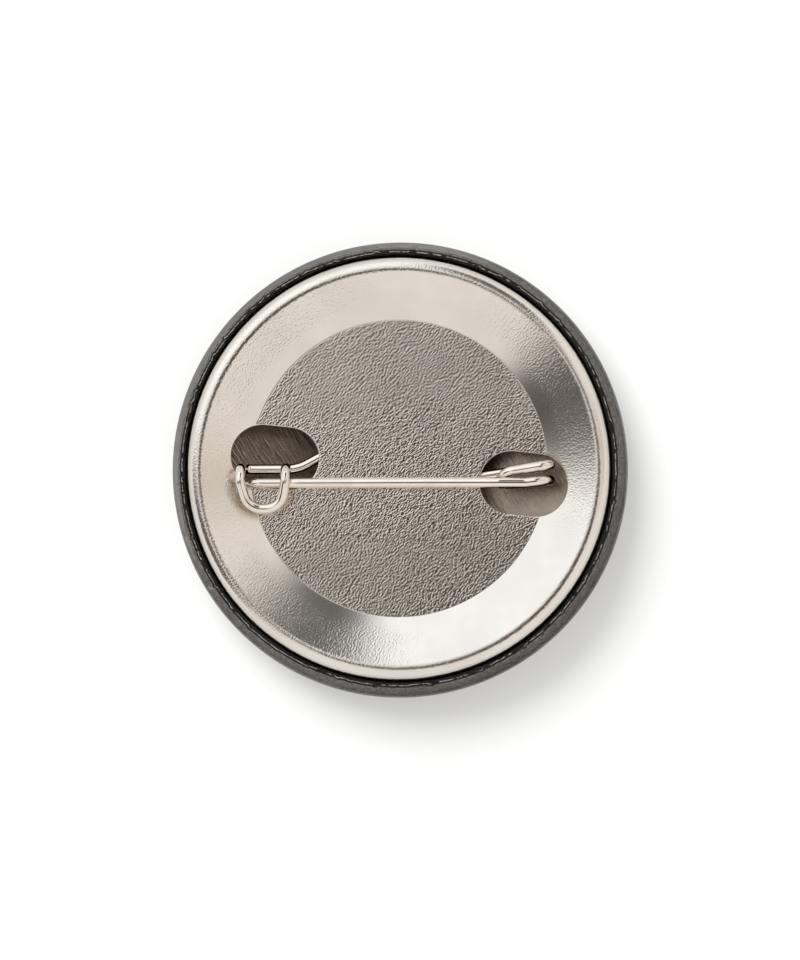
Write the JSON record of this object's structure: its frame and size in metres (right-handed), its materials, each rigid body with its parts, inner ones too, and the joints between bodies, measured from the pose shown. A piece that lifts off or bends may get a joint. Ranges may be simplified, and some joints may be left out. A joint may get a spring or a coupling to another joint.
{
  "type": "button badge",
  "caption": "Round pressed-metal button badge lying face down, with a domed face under clear film and a sprung wire pin held in two slots in its back plate.",
  "frame": {"origin": "lowest point of the domed face, in the middle of the badge, which lies face down", "axes": "+Z out of the back, along the badge's axis; +X from the catch hook to the coil, along the closed pin arm; +Y across the pin arm, towards the side that the hook opens from"},
  "size_m": [0.032, 0.032, 0.0062],
  "materials": {
    "tinplate_shell": "brushed tinplate, dull inside",
    "print": "plain charcoal print",
    "film": "clear gloss polyester",
    "tinplate_back": "bright tinplate with a fine grain",
    "plated_wire": "nickel-plated spring wire"
  },
  "bodies": {
    "badge": {"front_shell": "tinplate_shell", "printed_insert": "print", "clear_film": "film", "back_plate": "tinplate_back", "catch_wire": "plated_wire", "spring_coil": "plated_wire"},
    "pin_arm": {"pin_arm": "plated_wire"}
  },
  "joints": [
    {"name": "pin_open", "type": "hinge", "parent": "badge", "child": "pin_arm", "pos_m": [0.0089, -0.00105, 0.00497], "axis": [-0.9397, -0.1215, 0.3197], "range_deg": [0, 170]}
  ]
}
